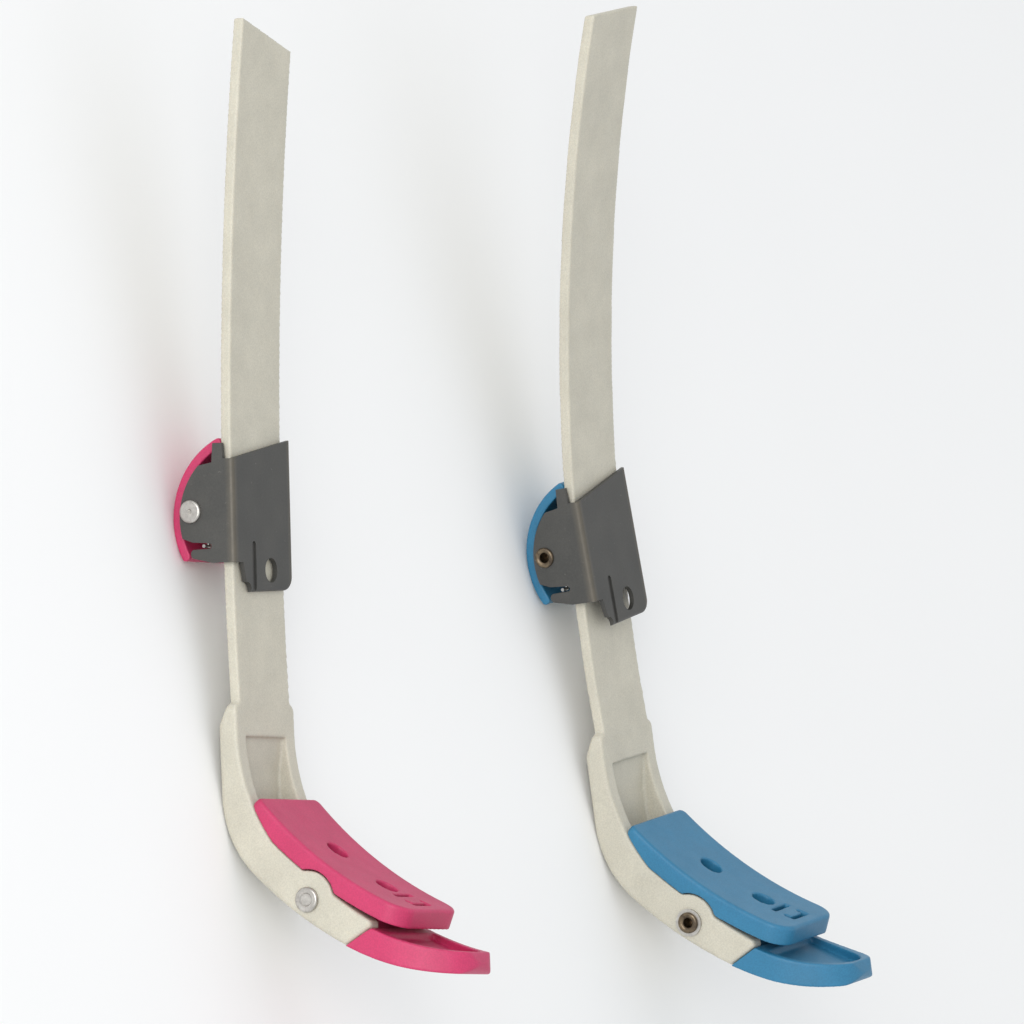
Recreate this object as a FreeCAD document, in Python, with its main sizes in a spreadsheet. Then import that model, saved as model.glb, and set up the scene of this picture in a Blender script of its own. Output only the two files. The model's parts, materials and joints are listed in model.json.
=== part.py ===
"""A pair of skate closure straps: a curved strap moulded in one with a hinged lever, a dished
finger tab, a riveted base plate, and a folded steel buckle with a cam lever that slides on it.

Each strap is modelled in its own frame (mm): X runs along the strap towards the lever end,
Y across it, Z towards its inner side, and the origin is on the inner face at the shoulder.
In the model frame both straps lie on their outer sides on Z = 0, inner sides up, with the
origin under the middle of the pair."""
import FreeCAD, Part
import math
import os

import Sketcher

Vector = FreeCAD.Vector
ACROSS = Vector(0, 1, 0)

SIZES = {
    # strap
    "strap_width": 21, "strap_thick": 2.3,
    "pink_length": 139.8, "pink_slant": 6.1, "blue_length": 152.5, "blue_slant": 0.4,
    "pink_bend": 900, "pink_lead": 1.7, "blue_bend": 405, "blue_lead": 3.5,
    # lever shell: rim on the inner side, three tangent stretches on the outer side
    "shell_width": 24.6, "pocket_width": 16.8, "skin": 2.2, "shoulder_run": 4.5,
    "rim_start": 6, "rim_bend": 40, "seat_x": 29,
    "flat_x": 19, "flat_z": -4.4, "heel_bend": 23, "heel_turn": 45, "back_bend": 88, "back_turn": 62,
    "nose_x": 47.3, "nose_z": 29.3, "seat_end": -27.3,
    "shoulder_round": 1.8, "nose_round": 0.6, "outer_round": 1, "rim_round": 0.5,
    # base plate: an arc about one centre, its angles measured from +X
    "plate_x": -37.4, "plate_z": 72.3, "plate_bend": 88.6, "plate_thick": 4.2, "plate_width": 25.2,
    "plate_top": -50, "plate_tip": -23.1, "seat_gap": 0.15,
    "rivet_hole": 2.5, "hole_one": -39.7, "hole_two": -30.9,
    "tip_round": 5, "top_round": 1.6, "face_round": 0.7,
    "window_at": -26.7, "window_half": 1.46, "slot_width": 1.1, "slot_length": 7.2, "slot_return": 1.5,
    # hinge
    "pin_x": 41, "pin_z": 15, "pin_radius": 1.5, "pin_play": 0.05, "boss": 5.9, "boss_play": 0.3,
    "boss_low": -38.75, "boss_high": -33.65, "boss_drop": 0.2, "end_drop": 0.9,
    "lug": 2.6, "lug_width": 4, "lug_outer": 8.1, "washer_radius": 2.9, "washer_thick": 0.5,
    # finger tab
    "tab_bend": 60, "tab_turn": 85, "tab_thick": 5, "rim_tip_x": 53.1, "rim_slope": 58,
    "rim_width": 2.1, "dish_depth": 2.4, "tab_end": 48.6, "tab_oval": 17, "plug_width": 16.6,
    # buckle bracket, about the cam rivet at x = 0
    "sheet": 1, "channel_gap": 0.45, "bracket_half": 12.2, "ear_x": 1.5, "ear_z": 4, "ear_bend": 15.2,
    "cam_pin_z": -8.5, "back_low": -10.5, "back_high": 10.6, "foot_end": -13.8, "tongue_end": 16,
    "tongue_hole_x": 12, "tongue_hole_y": 3, "tongue_round": 3, "fold_round": 0.9,
    # cam lever
    "lever_half": 10.3, "lever_inner": 15.9, "lever_outer": 18, "lever_tip": -156, "lever_lip": -62.5,
    "hub": 4.4, "spring_bore": 3.4, "spring_depth": 5, "wire": 0.35, "coil": 2.3,
    # how the pair lies: where each buckle sits, how it leans, and each strap's turn and place
    "pink_station": 39.2, "pink_lean": 0, "pink_lift": 0, "pink_yaw": -8.3, "pink_x": 24.055, "pink_y": -73.546,
    "blue_station": 38.5, "blue_lean": 5, "blue_lift": 1.26, "blue_yaw": 1.1, "blue_x": 48.655, "blue_y": 80.254,
}

doc = FreeCAD.newDocument("strap_pair")
dim = doc.addObject("Spreadsheet::Sheet", "dim")
for row, (alias, value) in enumerate(SIZES.items(), 1):
    dim.set(f"A{row}", str(value))
    dim.setAlias(f"A{row}", alias)
doc.recompute()


# ---- drawing helpers ---------------------------------------------------------------------------
def plane_of(body, role):
    return next(item for item in body.Origin.OriginFeatures if item.Role == role)


def new_sketch(body, name, role="XZ_Plane", offset=None):
    sketch = body.newObject("Sketcher::SketchObject", name)
    sketch.AttachmentSupport = [(plane_of(body, role), "")]
    sketch.MapMode = "FlatFace"
    if offset:
        sketch.setExpression("AttachmentOffset.Base.z", offset)
    return sketch


def pin_point(sketch, across, up):
    """A construction point whose two places are bound to formulas. Returns its index."""
    point = sketch.addGeometry(Part.Point(Vector(0, 0, 0)), True)
    for kind, formula in (("DistanceX", across), ("DistanceY", up)):
        index = sketch.addConstraint(Sketcher.Constraint(kind, -1, 1, point, 1, 0.0))
        sketch.setExpression(f"Constraints[{index}]", str(formula))
    return point


def bent_edge(start, end, side):
    """An arc from start to end; side is +1 to curve left on the way and -1 to curve right."""
    chord = end - start
    left = Vector(-chord.y, chord.x, 0) * 0.15
    return Part.Arc(start, (start + end) * 0.5 - left * side, end)


def outline(sketch, corners):
    """A closed outline. A corner is (x, y), or (x, y, radius, side) where its next edge is an arc."""
    points = [pin_point(sketch, *corner[:2]) for corner in corners]
    sketch.recompute()
    places = [sketch.getPoint(point, 1) for point in points]
    for index, corner in enumerate(corners):
        following = (index + 1) % len(corners)
        start, end = places[index], places[following]
        ends = (1, 2)
        if len(corner) == 2:
            edge = sketch.addGeometry(Part.LineSegment(start, end))
        else:
            edge = sketch.addGeometry(bent_edge(start, end, corner[3]))
            ends = (1, 2) if corner[3] > 0 else (2, 1)
        sketch.addConstraint(Sketcher.Constraint("Coincident", edge, ends[0], points[index], 1))
        sketch.addConstraint(Sketcher.Constraint("Coincident", edge, ends[1], points[following], 1))
        if len(corner) > 2:
            radius = sketch.addConstraint(Sketcher.Constraint("Radius", edge, start.distanceToPoint(end)))
            sketch.setExpression(f"Constraints[{radius}]", str(corner[2]))


def circle(sketch, across, up, radius):
    centre = pin_point(sketch, across, up)
    sketch.recompute()
    ring = sketch.addGeometry(Part.Circle(sketch.getPoint(centre, 1), Vector(0, 0, 1), 1))
    sketch.addConstraint(Sketcher.Constraint("Coincident", ring, 3, centre, 1))
    size = sketch.addConstraint(Sketcher.Constraint("Radius", ring, 1.0))
    sketch.setExpression(f"Constraints[{size}]", str(radius))


def grow(kind, sketch, length, side="Symmetric"):
    """A Pad or Pocket of the sketch, across its plane or to one side of it."""
    body = sketch.getParentGeoFeatureGroup()
    feature = body.newObject(f"PartDesign::{kind}", f"{sketch.Name}_{kind.lower()}")
    feature.Profile = sketch
    feature.SideType = side
    feature.setExpression("Length", str(length))
    sketch.recompute()
    feature.recompute()
    return feature


def pick_edges(shape, wanted):
    return [f"Edge{index}" for index, edge in enumerate(shape.Edges, 1) if wanted(edge)]


def round_edges(body, wanted, radius):
    """Round the body's edges that the test accepts."""
    base = body.Tip
    feature = body.newObject("PartDesign::Fillet", f"{body.Name}_round")
    feature.Base = (base, pick_edges(base.Shape, wanted))
    feature.setExpression("Radius", str(radius))
    feature.recompute()
    return feature


def new_body(name, placement):
    body = doc.addObject("PartDesign::Body", name)
    body.Label = name
    body.Placement = placement
    return body


def polar(reach, angle, centre=("dim.plate_x", "dim.plate_z")):
    """Formulas for the point at this reach and angle from a centre."""
    return f"{centre[0]} + ({reach}) * cos({angle})", f"{centre[1]} + ({reach}) * sin({angle})"


def heading_step(start, bend, turn_from, turn_to):
    """Formulas for the end of an arc that leaves start with one heading and ends with another."""
    return (f"{start[0]} + ({bend}) * (sin({turn_to}) - sin({turn_from}))",
            f"{start[1]} + ({bend}) * (cos({turn_from}) - cos({turn_to}))")


# ---- shared places in a strap's own frame ------------------------------------------------------
FLAT = ("dim.flat_x", "dim.flat_z")
HEEL = heading_step(FLAT, "dim.heel_bend", "0", "dim.heel_turn")
BACK = heading_step(HEEL, "dim.back_bend", "dim.heel_turn", "dim.back_turn")
SEAT_BEND = "dim.plate_bend + dim.plate_thick + dim.seat_gap"
SEAT = ("dim.seat_x", f"dim.plate_z - sqrt(({SEAT_BEND})^2 - (dim.seat_x - dim.plate_x)^2)")
SEAT_END = polar(f"{SEAT_BEND} + dim.end_drop", "dim.seat_end")
NOSE = ("dim.nose_x", "dim.nose_z")
FLOOR_FLAT = ("dim.flat_x", "dim.flat_z + dim.skin")
FLOOR_HEEL = heading_step(FLOOR_FLAT, "dim.heel_bend - dim.skin", "0", "dim.heel_turn")
FLOOR_BACK = heading_step(FLOOR_HEEL, "dim.back_bend - dim.skin", "dim.heel_turn", "dim.back_turn")
TAB_TIP = heading_step(BACK, "dim.tab_bend", "dim.back_turn", "dim.tab_turn")
PIN = ("dim.pin_x", "dim.pin_z")


def strap_lever(name, colour, place):
    """The strap and the lever shell, one moulding: two cheeks, a skin and the pocket between them."""
    body = new_body(name, place)
    shell = new_sketch(body, f"{name}_shell")
    outline(shell, [("0", "0"), ("dim.rim_start", "0", "dim.rim_bend", 1), (*SEAT, SEAT_BEND, 1),
                    (*polar(SEAT_BEND, "dim.boss_low"), "dim.boss", -1),
                    (*polar(f"{SEAT_BEND} + dim.boss_drop", "dim.boss_high"), SEAT_BEND, 1), SEAT_END, NOSE,
                    (*BACK, "dim.back_bend", -1), (*HEEL, "dim.heel_bend", -1), FLAT,
                    ("dim.shoulder_run", "dim.flat_z"), ("0", "-dim.strap_thick")])
    grow("Pad", shell, "dim.shell_width")
    for wanted, radius in SHELL_ROUNDS:
        round_edges(body, wanted, radius)

    bend, lead = f"dim.{colour}_bend", f"dim.{colour}_lead"
    centre = (f"-{bend} * sin({lead})", f"{bend} * cos({lead})")
    far = f"{lead} - 90 - dim.{colour}_length / {bend} * 180 / pi"
    near = f"{lead} - 90 + 1 / {bend} * 180 / pi"
    outer = f"{bend} + dim.strap_thick"
    band = new_sketch(body, f"{name}_band")
    outline(band, [(*polar(bend, far, centre), bend, 1), polar(bend, near, centre),
                   (*polar(outer, near, centre), outer, -1), polar(outer, far, centre)])
    grow("Pad", band, "dim.strap_width")

    slant = new_sketch(body, f"{name}_slant", "XY_Plane")
    end_x = polar(bend, far, centre)[0]
    half = "dim.strap_width / 2"
    outline(slant, [(end_x, f"-{half}"), (f"{end_x} + dim.{colour}_slant", half),
                    (f"{end_x} - 3", half), (f"{end_x} - 3", f"-{half}")])
    grow("Pocket", slant, f"dim.{colour}_length")

    pocket = new_sketch(body, f"{name}_pocket")
    outline(pocket, [("dim.rim_start + 0.5", "3"), ("dim.rim_start + 1", "-1.1"), ("14", "-2.1"),
                     (*FLOOR_FLAT, "dim.heel_bend - dim.skin", 1),
                     (*FLOOR_HEEL, "dim.back_bend - dim.skin", 1),
                     FLOOR_BACK, ("54", "33"), ("45", "45"), ("14", "20")])
    grow("Pocket", pocket, "dim.pocket_width")

    bore = new_sketch(body, f"{name}_bore")
    circle(bore, *PIN, "dim.pin_radius")
    grow("Pocket", bore, "2 * dim.shell_width")
    relief = new_sketch(body, f"{name}_relief")
    circle(relief, *PIN, "dim.lug + dim.boss_play")
    grow("Pocket", relief, "dim.pocket_width")
    return body


def on_cheek(edge):
    """Whether the edge lies in the outer face of a cheek."""
    places = [edge.CenterOfMass] + [vertex.Point for vertex in edge.Vertexes]
    return all(abs(abs(place.y) - dim.shell_width / 2) < 0.05 for place in places)


def is_shoulder_corner(edge):
    return on_cheek(edge) and abs(edge.CenterOfMass.x) < 0.05


def is_nose_edge(edge):
    middle = edge.CenterOfMass
    return abs(middle.x - dim.nose_x) < 0.1 and abs(middle.y) < 0.1


def is_outer_side(edge):
    """The cheeks' edges on the shell's outer side, shoulder to nose."""
    middle = edge.CenterOfMass
    return on_cheek(edge) and (middle.z < middle.x - 22 or middle.z < -2)


def is_rim_side(edge):
    """The long straight and concave edges of the rims, without the boss by the hinge."""
    middle = edge.CenterOfMass
    along_rim = middle.x < 30 or middle.z > 24
    return on_cheek(edge) and along_rim and edge.Length > 4.5 and middle.z > 1


SHELL_ROUNDS = ((is_shoulder_corner, "dim.shoulder_round"), (is_outer_side, "dim.outer_round"),
                (is_nose_edge, "dim.nose_round"), (is_rim_side, "dim.rim_round"))


def base_plate(name, place):
    """The plate that is riveted to the boot: a curved plate on two hinge lugs."""
    body = new_body(name, place)
    plate = new_sketch(body, f"{name}_plate")
    inner, outer = "dim.plate_bend", "dim.plate_bend + dim.plate_thick"
    outline(plate, [(*polar(inner, "dim.plate_top"), inner, 1), polar(inner, "dim.plate_tip"),
                    (*polar(outer, "dim.plate_tip"), outer, -1), polar(outer, "dim.plate_top")])
    grow("Pad", plate, "dim.plate_width")
    round_edges(body, is_tip_corner, "dim.tip_round")
    round_edges(body, is_top_corner, "dim.top_round")
    round_edges(body, is_plate_rim, "dim.face_round")

    seat = new_sketch(body, f"{name}_seat")
    lift = "dim.seat_gap"
    outline(seat, [("dim.rim_start", lift, "dim.rim_bend", 1), (SEAT[0], f"{SEAT[1]} + {lift}"),
                   ("dim.seat_x", "-6"), ("dim.rim_start", "-6")])
    grow("Pocket", seat, "2 * dim.plate_width")

    notch = new_sketch(body, f"{name}_notch")
    circle(notch, *PIN, "dim.boss + dim.boss_play")
    grow("Pocket", notch, "2 * dim.plate_width")

    pin_angle = f"{math.degrees(math.atan2(dim.pin_z - dim.plate_z, dim.pin_x - dim.plate_x)):.3f}"
    along = (f"cos({pin_angle} + 90)", f"sin({pin_angle} + 90)")
    out = (f"cos({pin_angle})", f"sin({pin_angle})")

    def by_pin(side, reach):
        return tuple(f"{PIN[axis]} + ({side}) * {along[axis]} + ({reach}) * {out[axis]}" for axis in (0, 1))

    for index, offset in enumerate(("dim.lug_outer - dim.lug_width", "-dim.lug_outer")):
        lug = new_sketch(body, f"{name}_lug_{index}", offset=offset)
        outline(lug, [(*by_pin("-dim.lug", "0"), "dim.lug", 1), (*by_pin("0", "dim.lug"), "dim.lug", 1),
                      by_pin("dim.lug", "0"), by_pin("dim.lug", "-6.2"), by_pin("-dim.lug", "-6.2")])
        grow("Pad", lug, "dim.lug_width", "One side")
    bore = new_sketch(body, f"{name}_bore")
    circle(bore, *PIN, "dim.pin_radius + dim.pin_play")
    grow("Pocket", bore, "2 * dim.plate_width")

    for hole in ("hole_one", "hole_two"):
        cut = body.newObject("PartDesign::SubtractiveCylinder", f"{name}_{hole}")
        cut.setExpression("Radius", "dim.rivet_hole")
        cut.setExpression("Height", "3 * dim.plate_thick")
        cut.Placement = plate_frame(getattr(dim, hole), -dim.plate_thick)
        cut.recompute()
    window(body, name)
    return body


def plate_frame(angle, depth=0.0, along=0.0, across=0.0):
    """A frame on the plate's inner face at an angle: Z out of the plate's outer side."""
    turn = math.radians(angle)
    foot = Vector(dim.plate_x, 0, dim.plate_z) + Vector(math.cos(turn), 0, math.sin(turn)) * dim.plate_bend
    frame = FreeCAD.Placement(foot, FreeCAD.Rotation(ACROSS, 90 - angle))
    return frame * FreeCAD.Placement(Vector(along, across, depth), FreeCAD.Rotation())


def window(body, name):
    """The latch window: two slots across the plate, the one by the tip with its ends turned back."""
    width, length, turned = dim.slot_width, dim.slot_length, dim.slot_return
    low, high = dim.window_at - dim.window_half, dim.window_at + dim.window_half
    cuts = [(low, width, length, 0.0, 0.0), (high, width, length, 0.0, 0.0)]
    for side in (-1, 1):
        cuts.append((high, turned, width, (width + turned) / 2 - 0.05, side * (length - width) / 2))
    for index, (angle, long, wide, along, across) in enumerate(cuts):
        cut = body.newObject("PartDesign::SubtractiveBox", f"{name}_slot_{index}")
        cut.Length, cut.Width = long, wide
        cut.setExpression("Height", "3 * dim.plate_thick")
        cut.Placement = plate_frame(angle, -dim.plate_thick, along - long / 2, across - wide / 2)
        cut.recompute()


def plate_angle(point):
    return math.degrees(math.atan2(point.z - dim.plate_z, point.x - dim.plate_x))


def is_tip_corner(edge):
    middle = edge.CenterOfMass
    return abs(plate_angle(middle) - dim.plate_tip) < 0.2 and edge.Length < dim.plate_thick + 0.1


def is_top_corner(edge):
    middle = edge.CenterOfMass
    return abs(plate_angle(middle) - dim.plate_top) < 0.2 and edge.Length < dim.plate_thick + 0.1


def is_plate_rim(edge):
    """Edges round the plate's inner face, which shows."""
    middle = edge.CenterOfMass
    ends = [vertex.Point for vertex in edge.Vertexes]
    reach = [math.hypot(end.x - dim.plate_x, end.z - dim.plate_z) for end in ends + [middle]]
    return max(abs(value - dim.plate_bend) for value in reach[:-1]) < 0.05


def free_sketch(name, rotation):
    sketch = doc.addObject("Sketcher::SketchObject", name)
    sketch.Placement = FreeCAD.Placement(Vector(), rotation)
    return sketch


def slab(sketch, direction, length):
    """A straight extrusion both ways from a free sketch."""
    piece = doc.addObject("Part::Extrusion", f"{sketch.Name}_slab")
    piece.Base = sketch
    piece.DirMode = "Custom"
    piece.Dir = direction
    piece.Symmetric = True
    piece.Solid = True
    piece.setExpression("LengthFwd", str(length))
    return piece


def boolean(kind, name, first, second):
    piece = doc.addObject(f"Part::{kind}", name)
    piece.Base, piece.Tool = first, second
    return piece


def finger_tab(name, place):
    """The coloured end of the lever: a curved, round-ended tab, dished on its inner side."""
    side_view = FreeCAD.Rotation(Vector(1, 0, 0), 90)
    end_view = FreeCAD.Rotation(Vector(1, 1, 1), 120)
    rim_bend = "dim.tab_bend - dim.tab_thick"
    rim_root = (f"{NOSE[0]} + 0.1", f"{NOSE[1]} + 0.05")
    rim_tip = ("dim.rim_tip_x", "dim.tab_end - 0.9")

    side = free_sketch(f"{name}_side", side_view)
    outline(side, [(*BACK, "dim.tab_bend", 1), (*TAB_TIP, "3", 1), ("55.6", "dim.tab_end"),
                   (*rim_tip, rim_bend, -1), rim_root])
    plan = free_sketch(f"{name}_plan", end_view)
    half, straight = "dim.shell_width / 2", "dim.tab_end - dim.tab_oval"
    oval(plan, half, straight, "dim.tab_oval", "10")
    blank = boolean("Common", f"{name}_blank", slab(side, ACROSS, "dim.shell_width"),
                    slab(plan, Vector(1, 0, 0), "200"))

    hollow = free_sketch(f"{name}_hollow", side_view)
    floor_root = (f"{rim_root[0]} + dim.dish_depth * sin(dim.rim_slope)",
                  f"{rim_root[1]} - dim.dish_depth * cos(dim.rim_slope) + 2.6")
    outline(hollow, [(*floor_root, rim_bend, 1), (f"{rim_tip[0]} + dim.dish_depth", "dim.tab_end"),
                     ("45", "55"), ("42", "31.5")])
    dish_plan = free_sketch(f"{name}_dish_plan", end_view)
    oval(dish_plan, f"{half} - dim.rim_width", straight, "dim.tab_oval - dim.rim_width", "31.5")
    dish = boolean("Common", f"{name}_dish", slab(hollow, ACROSS, "dim.shell_width"),
                   slab(dish_plan, Vector(1, 0, 0), "200"))
    dished = boolean("Cut", f"{name}_dished", blank, dish)

    plug = free_sketch(f"{name}_plug", side_view)
    low = heading_step(FLOOR_HEEL, "dim.back_bend - dim.skin", "dim.heel_turn", "59")
    outline(plug, [(f"{low[0]} - 0.05", f"{low[1]} + 0.05"),
                   (f"{FLOOR_BACK[0]} + 1", f"{FLOOR_BACK[1]} + 1.2"),
                   (f"{FLOOR_BACK[0]}", f"{FLOOR_BACK[1]} + 3"), (f"{low[0]} - 2.2", f"{low[1]} + 1.4")])
    whole = boolean("Fuse", name, dished, slab(plug, ACROSS, "dim.plug_width"))
    whole.Label = name
    whole.Placement = place
    return whole


def oval(sketch, half, straight, reach, root):
    """Half an oval on top of a straight-sided root, as four arcs that meet smoothly."""
    shoulder = (f"({half}) * cos(50)", f"{straight} + ({reach}) * sin(50)")
    top = f"{straight} + ({reach})"
    outline(sketch, [(half, root), (half, straight, f"1.35 * ({reach})", 1),
                     (*shoulder, f"0.76 * ({half})", 1), ("0", top, f"0.76 * ({half})", 1),
                     (f"-{shoulder[0]}", shoulder[1], f"1.35 * ({reach})", 1), (f"-({half})", straight),
                     (f"-({half})", root)])


def rivet(name, place, reach, head, roll, dimple):
    """A semi-tubular rivet along Y: a flat head at -Y and a rolled, hollow end at +Y.
    The shank runs from -reach[0] to reach[1]."""
    body = new_body(name, place)
    low, high = f"-{reach[0]}", reach[1]
    section = new_sketch(body, f"{name}_section", "XY_Plane")
    outline(section, [("0", f"{low} - 0.55"), (dimple, f"{low} - 0.55"),
                      (f"{dimple} + 0.25", f"{low} - 0.85"),
                      (f"{head} - 0.4", f"{low} - 0.85", "0.5", 1), (head, f"{low} - 0.4"), (head, low),
                      ("dim.pin_radius", low), ("dim.pin_radius", high), (roll, high, "0.45", 1),
                      (f"{roll} - 0.3", f"{high} + 0.6", "0.8", 1),
                      ("dim.pin_radius - 0.45", f"{high} + 0.3"),
                      ("dim.pin_radius - 0.6", f"{high} - 3"), ("0", f"{high} - 3")])
    turned = body.newObject("PartDesign::Revolution", f"{name}_turned")
    turned.Profile = section
    turned.ReferenceAxis = (section, ["V_Axis"])
    turned.Angle = 360
    turned.recompute()
    return body


def washer(name, place):
    """The ring under the hinge rivet's rolled end, against the far cheek."""
    body = new_body(name, place)
    ring = new_sketch(body, f"{name}_ring", offset="-dim.shell_width / 2 - dim.washer_thick")
    circle(ring, "0", "0", "dim.washer_radius")
    circle(ring, "0", "0", "dim.pin_radius + dim.pin_play")
    grow("Pad", ring, "dim.washer_thick", "One side")
    return body


def bracket(name, place):
    """The buckle's folded sheet: a back plate with a riveting tongue and two ears for the cam."""
    body = new_body(name, place)
    half = "dim.bracket_half"
    top = "dim.channel_gap + dim.sheet"
    back = new_sketch(body, f"{name}_back", "XY_Plane", "dim.channel_gap")
    outline(back, [("dim.back_low", f"-{half}"), ("dim.back_high", f"-{half}"), ("dim.back_high", "-8.6"),
                   ("dim.tongue_end - 1.4", "-7.4", "1.8", -1), ("dim.tongue_end + 0.6", "-5.4"),
                   ("dim.tongue_end", f"{half} - dim.tongue_round", "dim.tongue_round", 1),
                   ("dim.tongue_end - dim.tongue_round", half), ("dim.foot_end - 1", half)])
    grow("Pad", back, "dim.sheet", "One side")

    for index, offset in enumerate((f"{half} - dim.sheet", f"-{half}")):
        ear = new_sketch(body, f"{name}_ear_{index}", offset=offset)
        arc_start = polar("dim.ear_bend", "-135.5", ("dim.ear_x", "dim.ear_z"))
        arc_end = polar("dim.ear_bend", "-75", ("dim.ear_x", "dim.ear_z"))
        outline(ear, [("dim.back_high", top), ("dim.back_low", top), ("dim.back_low - 0.1", "-0.9"),
                      ("dim.foot_end", "-1.1"), ("dim.foot_end", "-3.2"), ("-9.9", "-3.5"),
                      (*arc_start, "dim.ear_bend", 1), arc_end, ("6.3", "-8.4"),
                      ("6.6", "-4.3", "0.6", -1), ("7.7", "-4.3"), ("7.8", "-8.2", "1", 1),
                      ("9.6", "-8.2"), ("dim.back_high", "-4")])
        grow("Pad", ear, "dim.sheet", "One side")
    round_edges(body, is_fold, "dim.fold_round")

    hole = new_sketch(body, f"{name}_hole", "XY_Plane")
    circle(hole, "dim.tongue_hole_x", "dim.tongue_hole_y", "dim.rivet_hole")
    grow("Pocket", hole, "20")
    groove = new_sketch(body, f"{name}_groove", "XY_Plane", f"{top} - 0.4")
    outline(groove, [("7", "-4.8", "0.8", -1), ("7", "-3.2"), ("17", "-3.2"), ("17", "-4.8")])
    pressed = grow("Pocket", groove, "2", "One side")
    pressed.Reversed = True
    bore = new_sketch(body, f"{name}_bore")
    circle(bore, "0", "dim.cam_pin_z", "dim.pin_radius")
    grow("Pocket", bore, "60")
    return body


def is_fold(edge):
    """The two outer fold lines between the back plate and the ears."""
    middle = edge.CenterOfMass
    at_side = abs(abs(middle.y) - dim.bracket_half) < 0.05
    return at_side and abs(middle.z - dim.channel_gap - dim.sheet) < 0.05 and edge.Length > 8


def cam_lever(name, place):
    """The cam lever: a curved cover, a hub on the rivet and a nose that bites the strap."""
    body = new_body(name, place)
    eye = ("dim.ear_x", "dim.ear_z")
    cover = new_sketch(body, f"{name}_cover")
    outline(cover, [(*polar("dim.lever_inner", "dim.lever_tip", eye), "dim.lever_inner", 1),
                    (*polar("dim.lever_inner", "dim.lever_lip", eye), "1.2", -1),
                    (*polar("dim.lever_outer", "dim.lever_lip", eye), "dim.lever_outer", -1),
                    (*polar("dim.lever_outer", "dim.lever_tip", eye), "1.2", -1)])
    grow("Pad", cover, "2 * dim.lever_half")
    hub = new_sketch(body, f"{name}_hub")
    circle(hub, "0", "dim.cam_pin_z", "dim.hub")
    grow("Pad", hub, "2 * dim.lever_half")
    nose = new_sketch(body, f"{name}_nose")
    outline(nose, [("-4.2", "dim.cam_pin_z"), ("-3.6", "dim.cam_pin_z + 3.4"),
                   ("-2.9", "dim.cam_pin_z + 4.4"),
                   ("-2.2", "dim.cam_pin_z + 3.9"), ("-1.5", "dim.cam_pin_z + 4.6"),
                   ("-0.8", "dim.cam_pin_z + 4.1"), ("0", "dim.cam_pin_z + 4.5"), ("2", "dim.cam_pin_z + 3"),
                   ("2", "dim.cam_pin_z")])
    grow("Pad", nose, "1.6 * dim.lever_half")
    round_edges(body, is_cover_side, "0.6")
    bore = new_sketch(body, f"{name}_bore")
    circle(bore, "0", "dim.cam_pin_z", "dim.pin_radius + dim.pin_play")
    grow("Pocket", bore, "4 * dim.lever_half")
    seat = new_sketch(body, f"{name}_seat", offset="dim.lever_half - dim.spring_depth")
    circle(seat, "0", "dim.cam_pin_z", "dim.spring_bore")
    counterbore = grow("Pocket", seat, "2 * dim.spring_depth", "One side")
    counterbore.Reversed = True
    return body


def is_cover_side(edge):
    """The long curved edges of the cover's outer face."""
    ends = [vertex.Point for vertex in edge.Vertexes]
    reach = [math.hypot(end.x - dim.ear_x, end.z - dim.ear_z) for end in ends]
    return len(ends) == 2 and min(reach) > dim.lever_outer - 0.05 and edge.Length > 20


def cam_spring(name, place):
    """The cam's torsion spring: close-wound turns and a leg that hooks through the near ear's slit."""
    pieces = []
    for turn in range(4):
        ring = doc.addObject("Part::Torus", f"{name}_turn_{turn}")
        ring.setExpression("Radius1", "dim.coil")
        ring.setExpression("Radius2", "dim.wire")
        centre = Vector(0, -dim.lever_half - 0.45 + turn * 0.6, dim.cam_pin_z)
        ring.Placement = FreeCAD.Placement(centre, FreeCAD.Rotation(Vector(1, 0, 0), 90))
        pieces.append(ring)
    start = Vector(-0.4, -dim.lever_half - 0.45, dim.cam_pin_z + dim.coil - 0.03)
    hook = Vector(7.15, start.y, -5.3)
    for label, foot, head in (("leg", start, hook), ("hook", hook, hook + Vector(0, -2.2, 0))):
        wire = doc.addObject("Part::Cylinder", f"{name}_{label}")
        wire.setExpression("Radius", "dim.wire")
        wire.Height = (head - foot).Length
        wire.Placement = FreeCAD.Placement(foot, FreeCAD.Rotation(Vector(0, 0, 1), head - foot))
        pieces.append(wire)
    elbow = doc.addObject("Part::Sphere", f"{name}_elbow")
    elbow.setExpression("Radius", "dim.wire")
    elbow.Placement.Base = hook
    spring = doc.addObject("Part::MultiFuse", name)
    spring.Shapes = pieces + [elbow]
    spring.Label = name
    spring.Placement = place
    return spring


# ---- how the pair lies -------------------------------------------------------------------------
def turn_about_y(degrees, base=Vector()):
    return FreeCAD.Placement(base, FreeCAD.Rotation(ACROSS, degrees))


def buckle_frame(colour):
    """The buckle's frame on its strap: origin on the inner face over the cam rivet."""
    bend, lead = getattr(dim, f"{colour}_bend"), getattr(dim, f"{colour}_lead")
    slope = lead - math.degrees(getattr(dim, f"{colour}_station") / bend)
    heading = math.radians(slope)
    foot = strap_centre(colour) + Vector(math.sin(heading), 0, -math.cos(heading)) * bend
    on_strap = turn_about_y(-slope, foot)
    lean = turn_about_y(-getattr(dim, f"{colour}_lean"), Vector(0, 0, getattr(dim, f"{colour}_lift")))
    return on_strap * lean


def strap_centre(colour):
    """Centre of the strap's arc in the strap's frame."""
    bend, lead = getattr(dim, f"{colour}_bend"), math.radians(getattr(dim, f"{colour}_lead"))
    return Vector(-bend * math.sin(lead), 0, bend * math.cos(lead))


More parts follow.
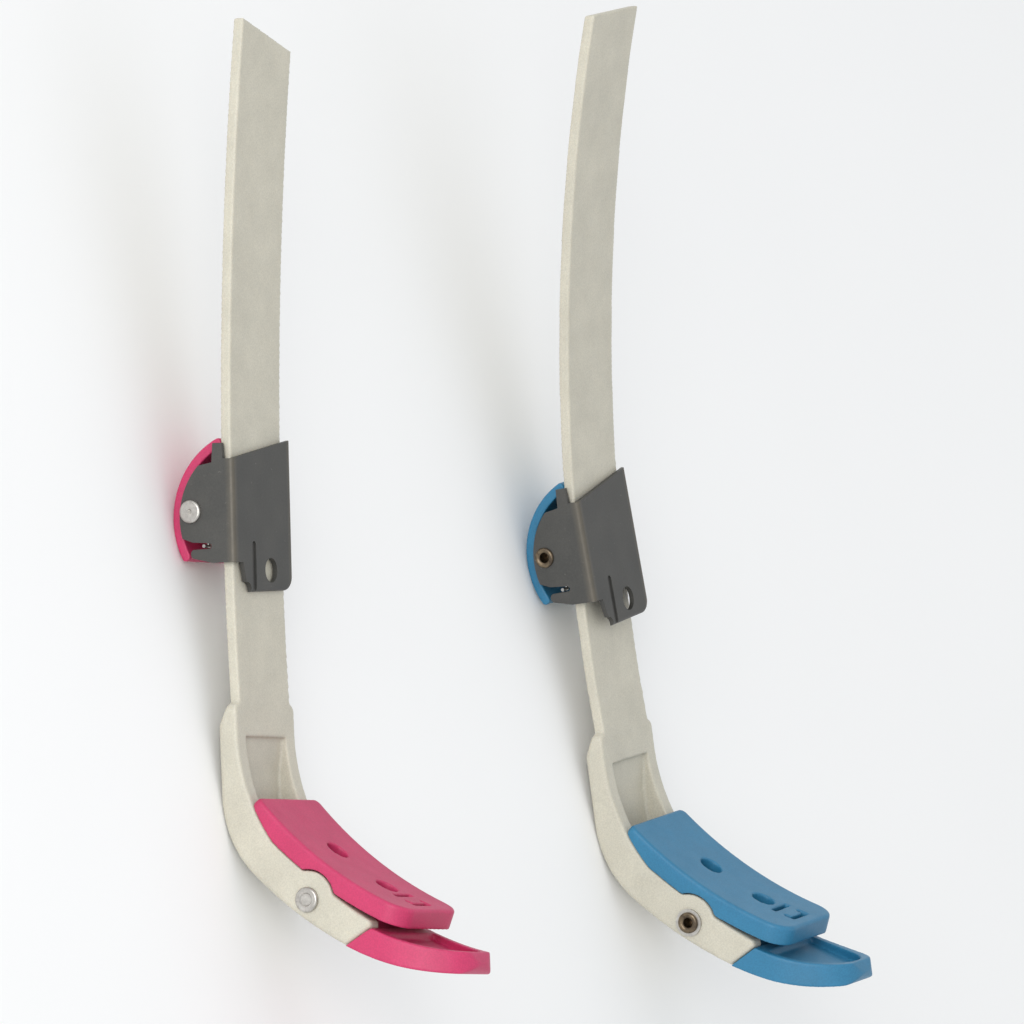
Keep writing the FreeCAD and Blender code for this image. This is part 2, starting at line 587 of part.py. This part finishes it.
def strap_frame(colour):
    """The strap at rest: its cam lever and the heel of its shell both touch Z = 0."""
    cam_eye = buckle_frame(colour).multVec(Vector(dim.ear_x, 0, dim.ear_z))
    heel_eye = Vector(dim.flat_x, 0, dim.flat_z + dim.heel_bend)
    gap = heel_eye - cam_eye
    rise = math.atan2(gap.z, gap.x) - math.asin((dim.heel_bend - dim.lever_outer) / gap.Length)
    lie = turn_about_y(math.degrees(rise))
    height = dim.heel_bend - lie.multVec(heel_eye).z
    turn = FreeCAD.Rotation(Vector(0, 0, 1), getattr(dim, f"{colour}_yaw"))
    spot = Vector(getattr(dim, f"{colour}_x"), getattr(dim, f"{colour}_y"), height)
    return FreeCAD.Placement(spot, turn) * lie


def one_strap(colour):
    """All the pieces of one strap. The blue strap's rivets were put in from the other side."""
    strap = strap_frame(colour)
    buckle = strap * buckle_frame(colour)
    flip = FreeCAD.Placement(Vector(), FreeCAD.Rotation(Vector(0, 0, 1), 180 if colour == "blue" else 0))
    hinge = strap * FreeCAD.Placement(Vector(dim.pin_x, 0, dim.pin_z), FreeCAD.Rotation()) * flip
    cam_pin = buckle * FreeCAD.Placement(Vector(0, 0, dim.cam_pin_z), FreeCAD.Rotation()) * flip
    cheek = "(dim.shell_width / 2)"
    ear = "(dim.bracket_half)"
    return [
        strap_lever(f"{colour}_strap_lever", colour, strap),
        finger_tab(f"{colour}_finger_tab", strap),
        base_plate(f"{colour}_base_plate", strap),
        rivet(f"{colour}_hinge_rivet", hinge, (cheek, f"{cheek} + dim.washer_thick"), "2.6", "2.2", "1.2"),
        washer(f"{colour}_hinge_washer", hinge),
        bracket(f"{colour}_bracket", buckle),
        cam_lever(f"{colour}_cam_lever", buckle),
        rivet(f"{colour}_cam_rivet", cam_pin, (ear, ear), "2.4", "2.1", "0.3"),
        cam_spring(f"{colour}_cam_spring", buckle),
    ]


def finish(nodes):
    """Check every object, then write each sub-part's own file."""
    doc.recompute()
    failed = [item.Name for item in doc.Objects if {"Invalid", "Error"} & set(item.State)]
    if failed:
        raise RuntimeError(f"these objects failed: {failed}")
    os.makedirs("parts", exist_ok=True)
    for node in nodes:
        shape = node.Shape
        if shape.isNull() or not shape.isValid() or len(shape.Solids) != 1:
            raise RuntimeError(f"{node.Label} has a bad shape")
        shape.exportStep(f"parts/{node.Label}.step")
        box = shape.BoundBox
        print(f"{node.Label}: {shape.Volume:.0f} mm3, X {box.XMin:.1f} {box.XMax:.1f}, "
              f"Y {box.YMin:.1f} {box.YMax:.1f}, Z {box.ZMin:.1f} {box.ZMax:.1f}")


finish(one_strap("pink") + one_strap("blue"))
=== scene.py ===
"""How the pair of skate closure straps looks: grained plastics, black-oxide buckles, plated rivets.
The shapes are the frame's own. Their sharp edges are eased here, and everything gets its surface."""
import json
import math

import bpy
from mathutils import Matrix, Vector


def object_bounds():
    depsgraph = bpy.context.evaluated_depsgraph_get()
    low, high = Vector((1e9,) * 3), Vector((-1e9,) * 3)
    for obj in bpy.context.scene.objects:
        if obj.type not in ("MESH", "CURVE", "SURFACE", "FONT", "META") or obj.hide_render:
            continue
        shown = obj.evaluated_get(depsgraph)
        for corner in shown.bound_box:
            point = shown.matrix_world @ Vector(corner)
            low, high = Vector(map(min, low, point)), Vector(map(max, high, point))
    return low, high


MM = 0.001
COLOURS = ("pink", "blue")

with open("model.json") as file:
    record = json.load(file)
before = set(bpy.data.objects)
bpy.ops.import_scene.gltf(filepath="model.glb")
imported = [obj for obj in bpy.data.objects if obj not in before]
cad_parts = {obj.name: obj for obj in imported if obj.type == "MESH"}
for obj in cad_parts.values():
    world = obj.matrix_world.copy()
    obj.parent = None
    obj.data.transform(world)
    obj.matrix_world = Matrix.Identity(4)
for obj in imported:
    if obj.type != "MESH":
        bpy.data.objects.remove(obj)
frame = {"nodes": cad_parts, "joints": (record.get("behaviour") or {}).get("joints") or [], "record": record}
nodes, joints = frame["nodes"], {joint["name"]: joint for joint in frame["joints"]}
mounts = {mount["name"]: mount for mount in frame["record"]["mounts"]}
cad_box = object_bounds()


# ---- node helpers ------------------------------------------------------------------------------
# The mix node has sockets for several kinds of data: these are its share and its colour ones.
MIX_SHARE, MIX_LOW, MIX_HIGH, MIX_COLOUR = 0, 6, 7, 2


class Surface:
    """A material in the making: its node tree, its shader and short calls for the usual nodes."""

    def __init__(self, name):
        self.material = bpy.data.materials.new(name)
        self.material.use_nodes = True
        self.tree = self.material.node_tree
        self.shader = self.tree.nodes["Principled BSDF"]
        self.place = self.add("ShaderNodeTexCoord").outputs["Object"]

    def add(self, kind, **inputs):
        """A new node of that kind. Its inputs are given by name, with _ for a space."""
        node = self.tree.nodes.new(kind)
        for name, value in inputs.items():
            self.feed(node, name.replace("_", " "), value)
        return node

    def feed(self, node, name, value):
        """Link a socket into a node's input, or write a plain value there."""
        if isinstance(value, bpy.types.NodeSocket):
            self.tree.links.new(value, node.inputs[name])
        else:
            node.inputs[name].default_value = value

    def set(self, **inputs):
        """Feed the shader's own inputs."""
        for name, value in inputs.items():
            self.feed(self.shader, name.replace("_", " "), value)

    def noise(self, size, detail, rough=0.6):
        """Noise whose blotches are about size metres across, as a socket from 0 to 1."""
        node = self.add("ShaderNodeTexNoise", Vector=self.place, Scale=1 / size,
                        Detail=detail, Roughness=rough)
        return node.outputs["Fac"]

    def ramp(self, value, *stops):
        """A colour or grey ramp; each stop is (place, colour or grey)."""
        node = self.tree.nodes.new("ShaderNodeValToRGB")
        elements = node.color_ramp.elements
        while len(elements) < len(stops):
            elements.new(0.5)
        for element, (place, colour) in zip(elements, stops):
            element.position = place
            shades = colour if isinstance(colour, tuple) else (colour,) * 3
            element.color = (*shades, 1)
        self.tree.links.new(value, node.inputs["Fac"])
        return node.outputs["Color"]

    def blend(self, share, low, high, how="MIX"):
        """Two colours mixed by a share, which may be a socket or a number."""
        node = self.tree.nodes.new("ShaderNodeMix")
        node.data_type = "RGBA"
        node.blend_type = how
        for index, value in ((MIX_SHARE, share), (MIX_LOW, low), (MIX_HIGH, high)):
            if isinstance(value, bpy.types.NodeSocket):
                self.tree.links.new(value, node.inputs[index])
            else:
                node.inputs[index].default_value = value if index == MIX_SHARE else (*value, 1)
        return node.outputs[MIX_COLOUR]

    def maths(self, how, first, second=0.0, third=0.0, clamp=False):
        """One sum on sockets or numbers; third is what MULTIPLY_ADD adds."""
        node = self.tree.nodes.new("ShaderNodeMath")
        node.operation = how
        node.use_clamp = clamp
        for index, value in enumerate((first, second, third)):
            if isinstance(value, bpy.types.NodeSocket):
                self.tree.links.new(value, node.inputs[index])
            else:
                node.inputs[index].default_value = value
        return node.outputs[0]

    def bump(self, height, depth, strength=1.0, over=None):
        """Small relief of that depth in metres, on top of another relief if one is given."""
        node = self.add("ShaderNodeBump", Height=height, Distance=depth, Strength=strength)
        if over is not None:
            self.tree.links.new(over, node.inputs["Normal"])
        return node.outputs["Normal"]


# ---- materials ---------------------------------------------------------------------------------
def shade(colour, factor):
    """A lighter or darker colour."""
    return tuple(min(1.0, part * factor) for part in colour)


def moulded_plastic(name, colour, grain, rough, glow):
    """Injection-moulded plastic: flow mottling, a fine spark-eroded grain and handling scuffs."""
    look = Surface(name)
    mottle = look.ramp(look.noise(9 * MM, 3),
                       (0.3, shade(colour, 0.93)), (0.7, shade(colour, 1.05)))
    speckle = look.ramp(look.noise(grain, 2), (0.38, 0.84), (0.62, 1.0))
    tint = look.blend(0.8, mottle, speckle, "MULTIPLY")
    scuffs = look.ramp(look.noise(2.5 * MM, 8, 0.75), (0.62, 0.0), (0.72, 1.0))
    tint = look.blend(look.maths("MULTIPLY", scuffs, 0.12), tint, shade(colour, 1.35))
    patchy = look.maths("MULTIPLY_ADD", look.noise(4 * MM, 5), 0.16, rough - 0.08)
    pores = look.bump(look.noise(grain, 3, 0.7), 0.03 * MM, 0.55)
    waves = look.bump(look.noise(14 * MM, 2), 0.25 * MM, 0.25, pores)
    look.set(Base_Color=tint, Roughness=patchy, Normal=waves)
    look.set(IOR=1.49, Subsurface_Weight=glow, Subsurface_Scale=1.2 * MM)
    look.set(Subsurface_Radius=(1.0, 0.8, 0.6))
    return look.material


def buckle_matrix(colour):
    """The buckle's own frame: origin on the cam rivet, X along the strap, Z out of the back plate."""
    pin = joints[f"{colour}_cam_hinge"]
    across = -Vector(pin["axis"])
    out = Vector(mounts[f"{colour}_tongue_hole"]["axis"])
    along = across.cross(out)
    turn = Matrix((along, across, out)).transposed().to_4x4()
    return Matrix.Translation(Vector(pin["pos_m"])) @ turn


# Where a buckle's two folds run, in its own frame, and how far from them the oxide is worn.
FOLD_ASIDE, FOLD_HEIGHT, WORN_REACH = 12.2 * MM, 9.95 * MM, 2 * MM

OXIDE_DARK, OXIDE_LIGHT = (0.058, 0.058, 0.054), (0.079, 0.077, 0.07)
WORN_BROWN, BARE_SPECK = (0.165, 0.14, 0.1), (0.2, 0.19, 0.17)


def black_steel(name, colour):
    """Black-oxide sheet: mill grain, faint oil clouds, and the oxide worn brown along the folds."""
    look = Surface(name)
    local = buckle_matrix(colour).inverted()
    mapping = look.add("ShaderNodeMapping", Vector=look.place)
    mapping.inputs["Location"].default_value = local.translation
    mapping.inputs["Rotation"].default_value = local.to_euler()
    place = mapping.outputs["Vector"]
    parts = look.add("ShaderNodeSeparateXYZ", Vector=place)
    aside = look.maths("SUBTRACT", look.maths("ABSOLUTE", parts.outputs["Y"]), FOLD_ASIDE)
    above = look.maths("SUBTRACT", parts.outputs["Z"], FOLD_HEIGHT)
    reach = look.maths("SQRT", look.maths("ADD", look.maths("MULTIPLY", aside, aside),
                                          look.maths("MULTIPLY", above, above)))
    near_fold = look.maths("SUBTRACT", 1.0, look.maths("DIVIDE", reach, WORN_REACH), clamp=True)
    uneven = look.ramp(look.noise(1.6 * MM, 6, 0.7), (0.3, 0.55), (0.7, 1.0))
    worn = look.maths("MULTIPLY", near_fold, uneven)
    oxide = look.ramp(look.noise(6 * MM, 6, 0.65), (0.3, OXIDE_DARK), (0.7, OXIDE_LIGHT))
    grain = look.ramp(look.noise(0.35 * MM, 3), (0.35, 0.82), (0.65, 1.0))
    oxide = look.blend(0.8, oxide, grain, "MULTIPLY")
    tint = look.blend(look.maths("MULTIPLY", worn, 0.75), oxide, WORN_BROWN)
    specks = look.ramp(look.noise(0.9 * MM, 2), (0.7, 0.0), (0.76, 1.0))
    tint = look.blend(look.maths("MULTIPLY", specks, 0.35), tint, BARE_SPECK)
    rough = look.maths("MULTIPLY_ADD", look.noise(3 * MM, 5), 0.2, 0.42)
    rolled = look.bump(look.noise(0.35 * MM, 4, 0.7), 0.02 * MM, 0.6)
    look.set(Base_Color=tint, Roughness=rough, Normal=rolled, Metallic=0.35, IOR=1.6)
    return look.material


def plated_metal(name, bright, dull, rough):
    """Rolled and plated rivet metal: stains in the plating, darker nicks and small dents."""
    look = Surface(name)
    stain = look.ramp(look.noise(1.5 * MM, 6, 0.7), (0.35, dull), (0.65, bright))
    nicks = look.ramp(look.noise(0.5 * MM, 3), (0.62, 1.0), (0.72, 0.6))
    tint = look.blend(0.8, stain, nicks, "MULTIPLY")
    gloss = look.maths("MULTIPLY_ADD", look.noise(0.8 * MM, 5), 0.25, rough - 0.1)
    dents = look.bump(look.noise(0.6 * MM, 5, 0.65), 0.03 * MM, 0.6)
    look.set(Base_Color=tint, Roughness=gloss, Normal=dents, Metallic=1.0)
    return look.material


IVORY = (0.58, 0.55, 0.455)
PINK = (0.55, 0.034, 0.125)
BLUE = (0.026, 0.185, 0.335)

ivory = moulded_plastic("ivory_plastic", IVORY, grain=0.3 * MM, rough=0.46, glow=0.15)
coloured = {"pink": moulded_plastic("pink_plastic", PINK, grain=0.35 * MM, rough=0.48, glow=0.12),
            "blue": moulded_plastic("blue_plastic", BLUE, grain=0.35 * MM, rough=0.46, glow=0.08)}
silver = plated_metal("rivet_steel", bright=(0.62, 0.6, 0.56), dull=(0.42, 0.4, 0.37), rough=0.34)
bronze = plated_metal("bronze_rivet", bright=(0.26, 0.2, 0.13), dull=(0.07, 0.055, 0.045), rough=0.36)
spring_wire = plated_metal("spring_steel", bright=(0.5, 0.49, 0.47), dull=(0.3, 0.29, 0.28), rough=0.3)


# ---- pieces ------------------------------------------------------------------------------------
# The moulded nodes with the size of their even mesh and their rounds of smoothing.
EASED = (("strap_lever", 0.3 * MM, 5), ("finger_tab", 0.25 * MM, 6),
         ("base_plate", 0.25 * MM, 6), ("cam_lever", 0.22 * MM, 5))


def dress(node, material):
    """Give a CAD node its material."""
    node.data.materials.clear()
    node.data.materials.append(material)


def ease(node, voxel, passes):
    """Ease a moulded node's edges: an even fine mesh, then a few rounds of smoothing."""
    even = node.modifiers.new("even_mesh", "REMESH")
    even.mode = "VOXEL"
    even.voxel_size = voxel
    even.use_smooth_shade = True
    soft = node.modifiers.new("soft_edges", "SMOOTH")
    soft.factor = 0.5
    soft.iterations = passes


for colour in COLOURS:
    rivets = silver if colour == "pink" else bronze
    looks = {"strap_lever": ivory, "finger_tab": coloured[colour],
             "base_plate": coloured[colour], "cam_lever": coloured[colour],
             "bracket": black_steel(f"black_steel_{colour}", colour),
             "hinge_rivet": rivets, "cam_rivet": rivets, "hinge_washer": silver,
             "cam_spring": spring_wire}
    for name, material in looks.items():
        dress(nodes[f"{colour}_{name}"], material)
    for name, voxel, passes in EASED:
        ease(nodes[f"{colour}_{name}"], voxel, passes)


# ---- floor, light, camera ----------------------------------------------------------------------
FLOOR_GAP = 0.05 * MM
FLOOR_REACH = 6.0
PAPER_DARK, PAPER_LIGHT = (0.93, 0.93, 0.925), (0.95, 0.95, 0.945)

# The camera's aim on the floor, its distance, its angle above the floor, its roll and its lens.
AIM = Vector((-0.85 * MM, 69.25 * MM, 0))
DISTANCE = 4.889
ELEVATION, ROLL = math.radians(27.4), math.radians(75.27)
LENS = 819.6


def studio_floor(centre, reach):
    """A plain pale sheet just under the pair."""
    bpy.ops.mesh.primitive_plane_add(size=2 * reach, location=(centre.x, centre.y, -FLOOR_GAP))
    floor = bpy.context.object
    floor.name = "floor"
    paper = Surface("pale_floor")
    tint = paper.ramp(paper.noise(0.2, 3), (0.3, PAPER_DARK), (0.7, PAPER_LIGHT))
    paper.set(Base_Color=tint, Roughness=0.9)
    floor.data.materials.append(paper.material)


def soft_box(name, aim, direction, distance, size, power):
    """A square soft light of that size and power, at a distance from the aim point it faces."""
    data = bpy.data.lights.new(name, "AREA")
    data.size, data.energy = size, power
    light = bpy.data.objects.new(name, data)
    toward = Vector(direction).normalized()
    light.location = aim + toward * distance
    light.rotation_euler = toward.to_track_quat("Z", "Y").to_euler()
    bpy.context.scene.collection.objects.link(light)


def rolled_camera(aim, distance, elevation, roll, lens):
    """A long-lens camera that looks along +Y and down, turned about its own axis by roll."""
    look = Vector((0, math.cos(elevation), -math.sin(elevation)))
    upright = Vector((0, math.sin(elevation), math.cos(elevation)))
    right = Vector((1, 0, 0)) * math.cos(roll) + upright * math.sin(roll)
    up = upright * math.cos(roll) - Vector((1, 0, 0)) * math.sin(roll)
    data = bpy.data.cameras.new("camera")
    data.lens, data.clip_end = lens, 4 * distance
    camera = bpy.data.objects.new("camera", data)
    turn = Matrix((right, up, -look)).transposed().to_4x4()
    camera.matrix_world = Matrix.Translation(aim - look * distance) @ turn
    bpy.context.scene.collection.objects.link(camera)
    bpy.context.scene.camera = camera


low, high = cad_box
middle = (Vector(low) + Vector(high)) / 2
studio_floor(middle, FLOOR_REACH)
soft_box("key", middle, direction=(-0.25, -1, 0.35), distance=1.6, size=1.1, power=14)

world = bpy.data.worlds.new("studio")
bpy.context.scene.world = world
world.use_nodes = True
background = world.node_tree.nodes["Background"]
background.inputs["Color"].default_value = (0.97, 0.985, 1, 1)
background.inputs["Strength"].default_value = 0.85
bpy.context.scene.view_settings.view_transform = "Standard"

rolled_camera(AIM, DISTANCE, ELEVATION, ROLL, LENS)
